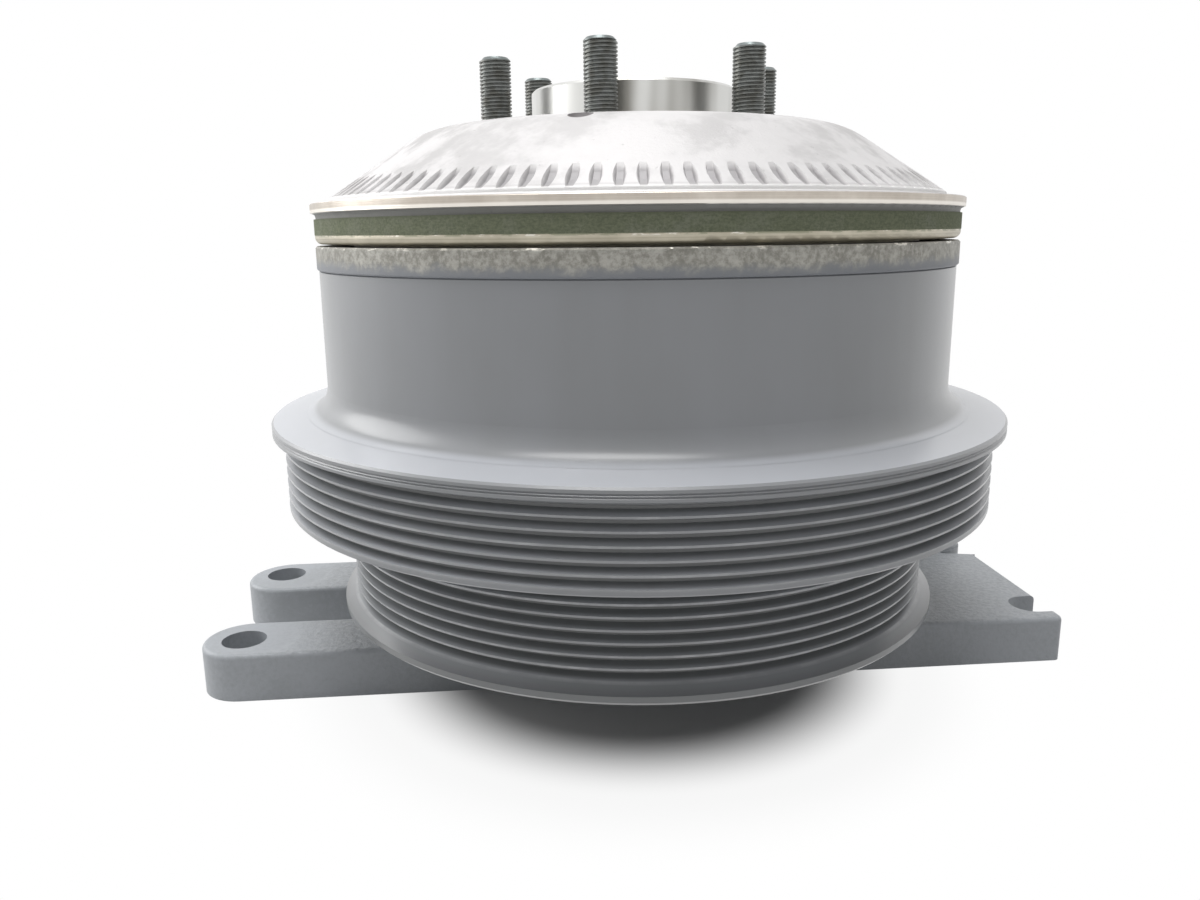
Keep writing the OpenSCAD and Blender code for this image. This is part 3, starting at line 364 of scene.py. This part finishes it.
def blackOxide():
    oxide = {"black": (104, 104, 99), "oily": (128, 131, 129), "rubbed": (176, 177, 171),
             "tip": (120, 134, 136), "top": 0.19930, "metal": 0.60, "rough": 0.26,
             "patch": 300, "grain": 1600, "bump": 0.015}
    f = Finish("blackOxide")
    patch = f.place.noise(oxide["patch"], 3, 0.6)
    grain = f.place.noise(oxide["grain"], 3, 0.65)
    colour = patch.step(0.35, 0.65).tint(shade(*oxide["black"]), shade(*oxide["oily"]))
    rubbed = (grain * 0.5 + patch * 0.5).step(0.56, 0.66)
    colour = (rubbed * 0.22).tint(colour, shade(*oxide["rubbed"]))
    tip = f.z.step(oxide["top"] - 0.0006, oxide["top"])
    colour = (tip * 0.5).tint(colour, shade(*oxide["tip"]))
    f.set(Base_Color=colour, Metallic=oxide["metal"], Roughness=grain * 0.10 + oxide["rough"])
    f.bump(grain, oxide["bump"], 0.0001)
    return f.material


def turnedMetal(name, light, dark, metal, rough, lathe=2200):  # steel, bronze and the like
    turned = {"patch": 120, "grain": 1400, "bump": 0.16}
    f = Finish(name)
    lines = f.turned(lathe, 12)
    patch = f.place.noise(turned["patch"], 4, 0.6)
    grain = f.place.noise(turned["grain"], 3, 0.6)
    colour = (lines * 0.5 + patch * 0.4 + grain * 0.1).step(0.35, 0.65).tint(
        shade(*dark), shade(*light))
    f.set(Base_Color=colour, Metallic=metal, Roughness=lines * 0.14 + patch * 0.1 + (rough - 0.12))
    f.bump(lines * 0.7 + grain * 0.3, turned["bump"], 0.0003)
    return f.material


def sealRubber():
    rubber = {"black": (38, 38, 39), "pale": (52, 52, 54), "rough": 0.58, "grain": 1300,
              "bloom": 70, "bump": 0.25}
    f = Finish("sealRubber")
    grain = f.place.noise(rubber["grain"], 4, 0.7)
    bloom = f.place.noise(rubber["bloom"], 4, 0.6)
    colour = bloom.step(0.35, 0.65).tint(shade(*rubber["black"]), shade(*rubber["pale"]))
    f.set(Base_Color=colour, Roughness=grain * 0.2 + rubber["rough"], Specular_IOR_Level=0.4)
    f.bump(grain, rubber["bump"], 0.0003)
    return f.material


finishes = {
    "grey_paint": pulleyPaint(),
    "ring_metal": ringMetal(),
    "disc_steel": discSteel(),
    "cast_aluminium": castAluminium(),
    "facing_green": facingGreen(),
    "black_oxide": blackOxide(),
    "seal_rubber": sealRubber(),
    "machined_steel": turnedMetal("machinedSteel", (190, 187, 180), (150, 147, 140), 0.9, 0.34),
    "race_steel": turnedMetal("raceSteel", (214, 213, 210), (188, 187, 184), 0.95, 0.20, 3200),
    "cap_steel": turnedMetal("capSteel", (204, 203, 200), (188, 187, 183), 0.9, 0.34, 1500),
    "ball_steel": turnedMetal("ballSteel", (226, 226, 227), (206, 206, 207), 1.0, 0.14, 3600),
    "dark_steel": turnedMetal("darkSteel", (82, 82, 80), (56, 56, 55), 0.7, 0.42),
    "cage_bronze": turnedMetal("cageBronze", (186, 152, 98), (150, 116, 70), 0.9, 0.34),
}
bracketCoat = bracketPaint()
for part in frame["record"]["subparts"]:
    shell = frame["nodes"][part["node"]]
    coat = bracketCoat if part["node"] == "mounting_bracket" else finishes[part["material_slot"]]
    for socket in shell.material_slots:
        socket.material = coat
print("finishes:", len(finishes) + 1)


def deselectAll():
    if bpy.context.mode != "OBJECT":
        bpy.ops.object.mode_set(mode="OBJECT")
    bpy.ops.object.select_all(action="DESELECT")


def applyModifier(piece, kind, **settings):
    bpy.context.view_layer.objects.active = piece
    made = piece.modifiers.new(kind.title(), kind)
    for key, value in settings.items():
        setattr(made, key, value)
    bpy.ops.object.modifier_apply(modifier=made.name)


mending = {"weld": 1e-6, "smoothUnder": 32}


def closeEnds():  # fills the open ends of the piece in edit mode and leaves it finished
    bpy.ops.mesh.select_mode(type="EDGE")
    bpy.ops.mesh.select_all(action="DESELECT")
    bpy.ops.mesh.select_non_manifold(use_wire=False, use_multi_face=False,
                                     use_non_contiguous=False, use_verts=False)
    bpy.ops.mesh.fill_holes(sides=0)
    bpy.ops.mesh.select_all(action="SELECT")
    bpy.ops.mesh.remove_doubles(threshold=mending["weld"])
    bpy.ops.mesh.normals_make_consistent(inside=False)
    bpy.ops.object.mode_set(mode="OBJECT")
    bpy.ops.object.shade_smooth_by_angle(angle=radians(mending["smoothUnder"]))


def placedCopy(piece, name, place, turn, slotName):  # own mesh, object back at the origin
    deselectAll()
    piece.select_set(True)
    bpy.context.view_layer.objects.active = piece
    bpy.ops.object.duplicate()
    twin = bpy.context.active_object
    twin.name = twin.data.name = name
    twin.rotation_euler = (0, 0, turn)
    twin.location = place
    bpy.ops.object.transform_apply(location=True, rotation=True, scale=True)
    twin.data.materials.clear()
    twin.data.materials.append(finishes[slotName])
    return twin


def threadedStud(stud):
    deselectAll()
    turns = int((stud["head"] - stud["neck"]) / stud["pitch"]) + 4
    start = stud["neck"] - 2 * stud["pitch"]
    bpy.ops.mesh.primitive_plane_add(size=0.001, location=(0, 0, 0))
    piece = bpy.context.active_object
    bpy.ops.object.mode_set(mode="EDIT")
    bpy.ops.mesh.select_all(action="SELECT")
    bpy.ops.mesh.merge(type="CENTER")  # one point, which then draws one turn's profile
    bpy.ops.transform.translate(value=(stud["radius"] - stud["depth"], 0, start))
    flank = (stud["pitch"] - stud["crest"] - stud["root"]) / 2
    for out, up in ((0, stud["root"]), (stud["depth"], flank), (0, stud["crest"]),
                    (-stud["depth"], flank)):
        bpy.ops.mesh.extrude_region_move(TRANSFORM_OT_translate={"value": (out, 0, up)})
    bpy.ops.object.mode_set(mode="OBJECT")
    applyModifier(piece, "SCREW", axis="Z", angle=2 * pi, screw_offset=stud["pitch"],
                  iterations=turns, steps=stud["steps"], render_steps=stud["steps"],
                  use_merge_vertices=False)
    bpy.ops.object.mode_set(mode="EDIT")
    bpy.ops.mesh.select_all(action="SELECT")
    bpy.ops.mesh.remove_doubles(threshold=mending["weld"])
    bpy.ops.mesh.normals_make_consistent(inside=False)
    for level, side in ((stud["head"] - stud["chamfer"], 1), (stud["neck"], -1)):
        bpy.ops.mesh.select_all(action="SELECT")
        bpy.ops.mesh.bisect(plane_co=(0, 0, level), plane_no=(0, 0, side), clear_outer=True,
                            threshold=stud["cut"])
        if side > 0:  # the free end draws in to its chamfer
            tip = 1 - stud["chamfer"] / stud["radius"]
            bpy.ops.mesh.extrude_region_move(
                TRANSFORM_OT_translate={"value": (0, 0, stud["chamfer"])})
            bpy.ops.transform.resize(value=(tip, tip, 1), center_override=(0, 0, stud["head"]))
        else:  # below the neck the seated shank is thinner
            waist = stud["seat"] / stud["radius"]
            bpy.ops.mesh.extrude_region_move(TRANSFORM_OT_translate={"value": (0, 0, 0)})
            bpy.ops.transform.resize(value=(waist, waist, 1), center_override=(0, 0, stud["neck"]))
            bpy.ops.mesh.extrude_region_move(
                TRANSFORM_OT_translate={"value": (0, 0, stud["foot"] - stud["neck"])})
    closeEnds()
    return piece


# circle is a diameter, turn is in degrees, and twist starts each stud's thread elsewhere
studSizes = {"radius": 0.00476, "pitch": 0.0254 / 24, "depth": 0.00050, "crest": 0.00040,
             "root": 0.00012, "neck": 0.17879, "seat": 0.00422, "foot": 0.16229, "head": 0.19989,
             "chamfer": 0.0008, "cut": 1e-7, "steps": 48, "circle": 0.0889, "count": 6,
             "turn": -108.9, "twist": 1.7}
master = threadedStud(studSizes)
for number in range(studSizes["count"]):
    angle = radians(studSizes["turn"] + 360 / studSizes["count"] * number)
    place = (cos(angle) * studSizes["circle"] / 2, sin(angle) * studSizes["circle"] / 2, 0)
    twist = studSizes["twist"] * number
    stud = placedCopy(master, f"threaded_stud_{number + 1}", place, twist, "black_oxide")
    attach(stud, "fan_disc")
    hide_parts("fan_studs")
bpy.data.objects.remove(master)
print("studs:", studSizes["count"], "with", len(stud.data.polygons), "faces each")


def coilSpring(spring):
    deselectAll()
    bpy.ops.mesh.primitive_circle_add(vertices=spring["sides"], radius=spring["wire"],
                                      fill_type="NOTHING", location=(0, 0, 0),
                                      rotation=(pi / 2, 0, 0))
    piece = bpy.context.active_object
    bpy.ops.object.transform_apply(location=True, rotation=True, scale=True)
    bpy.ops.object.mode_set(mode="EDIT")
    bpy.ops.mesh.select_all(action="SELECT")
    bpy.ops.transform.translate(value=(spring["coil"], 0, spring["foot"] + spring["wire"]))
    bpy.ops.object.mode_set(mode="OBJECT")
    rise = (spring["head"] - spring["foot"] - 2 * spring["wire"]) / spring["turns"]
    applyModifier(piece, "SCREW", axis="Z", angle=2 * pi, screw_offset=rise,
                  iterations=spring["turns"], steps=spring["steps"],
                  render_steps=spring["steps"], use_merge_vertices=False)
    bpy.ops.object.mode_set(mode="EDIT")
    bpy.ops.mesh.select_all(action="SELECT")
    bpy.ops.mesh.remove_doubles(threshold=mending["weld"])
    closeEnds()
    return piece


# coil, wire and circle are radii
springSizes = {"coil": 0.0058, "wire": 0.0012, "foot": 0.11502, "head": 0.13998, "turns": 5,
               "steps": 24, "sides": 10, "circle": 0.0707, "count": 8}
master = coilSpring(springSizes)
for number in range(springSizes["count"]):
    angle = 2 * pi * number / springSizes["count"]
    place = (cos(angle) * springSizes["circle"], sin(angle) * springSizes["circle"], 0)
    spring = placedCopy(master, f"engage_spring_{number + 1}", place, angle, "dark_steel")
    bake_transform(spring)
    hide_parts("engage_springs")
bpy.data.objects.remove(master)
print("springs:", springSizes["count"], "with", len(spring.data.polygons), "faces each")


def plainRays(tree):  # 1 for rays from the camera, a mirror or glass, 0 for the rest
    path = tree.nodes.new("ShaderNodeLightPath")
    seen, mirrored, through = (Wire(tree, path.outputs[name]) for name in
                               ("Is Camera Ray", "Is Glossy Ray", "Is Transmission Ray"))
    return seen.maths("MINIMUM", seen + mirrored + through, 1)


def paleFloor():
    floorSizes = {"size": 9.0, "grey": 0.66, "pale": 0.68, "core": 0.060, "rim": 0.094,
                  "outer": 0.125, "rimShare": 0.92}
    deselectAll()
    bpy.ops.mesh.primitive_plane_add(size=floorSizes["size"], location=(0, 0, cadBox[0][2]))
    floor = bpy.context.active_object
    floor.name = "floor"
    f = Finish("paleFloor")
    mist = f.place.noise(3, 2)
    grey, pale = (floorSizes["grey"],) * 3 + (1,), (floorSizes["pale"],) * 3 + (1,)
    f.set(Base_Color=mist.tint(grey, pale), Roughness=0.9, Specular_IOR_Level=0.1)
    clear = f.radius.step(floorSizes["core"], floorSizes["rim"]) * floorSizes["rimShare"] \
        + f.radius.step(floorSizes["rim"], floorSizes["outer"]) * (1 - floorSizes["rimShare"])
    glow = f.place.node("Emission", {}, {"Color": (1, 1, 1, 1), "Strength": 1.0})
    matt = Wire(f.tree, f.shader.outputs[0])  # shows the shadow, and further out turns white
    floorMix = matt.node("MixShader", {}, {0: clear * plainRays(f.tree), 1: matt, 2: glow})
    f.tree.links.new(floorMix.socket, f.tree.nodes["Material Output"].inputs["Surface"])
    floor.data.materials.append(f.material)


def plainWorld():
    room = {"plain": 1.0, "dim": 0.24}
    world = bpy.data.worlds.new("softRoom")
    bpy.context.scene.world = world
    world.use_nodes = True
    tree = world.node_tree
    back = tree.nodes["Background"]
    back.inputs["Color"].default_value = (1, 1, 1, 1)
    strength = plainRays(tree) * (room["plain"] - room["dim"]) + room["dim"]
    tree.links.new(strength.socket, back.inputs["Strength"])


# metres and watts
lampSizes = {"across": 0.8, "aim": (0, 0, 0.10),
             "overhead": (-0.12, -0.12, 1.35), "overheadPower": 10.4,
             "side": (-0.94, 0.30, 0.54), "sidePower": 5.0}


def softLamp(name, place, power):
    data = bpy.data.lights.new(name, "AREA")
    data.shape = "DISK"
    data.size = lampSizes["across"]
    data.energy = power
    lamp = bpy.data.objects.new(name, data)
    bpy.context.scene.collection.objects.link(lamp)
    lamp.location = place
    aim = Vector(lampSizes["aim"]) - Vector(place)
    lamp.rotation_euler = aim.to_track_quat("-Z", "Y").to_euler()


paleFloor()
plainWorld()
softLamp("overheadLamp", lampSizes["overhead"], lampSizes["overheadPower"])
softLamp("sideLamp", lampSizes["side"], lampSizes["sidePower"])
print("floor and light placed")

photoCamera = {"place": (-0.04026472, -0.32326452, 0.14864376),
               "turn": (77.1648, 0.5988, -5.1309), "lens": 28.9835, "sensor": 36,
               "nearest": 0.01}
cameraData = bpy.data.cameras.new("photoCamera")
cameraData.lens = photoCamera["lens"]
cameraData.sensor_width = photoCamera["sensor"]
cameraData.clip_start = photoCamera["nearest"]
camera = bpy.data.objects.new("photoCamera", cameraData)
bpy.context.scene.collection.objects.link(camera)
camera.location = photoCamera["place"]
camera.rotation_euler = [radians(turn) for turn in photoCamera["turn"]]
bpy.context.scene.camera = camera
bpy.context.scene.view_settings.view_transform = "Standard"
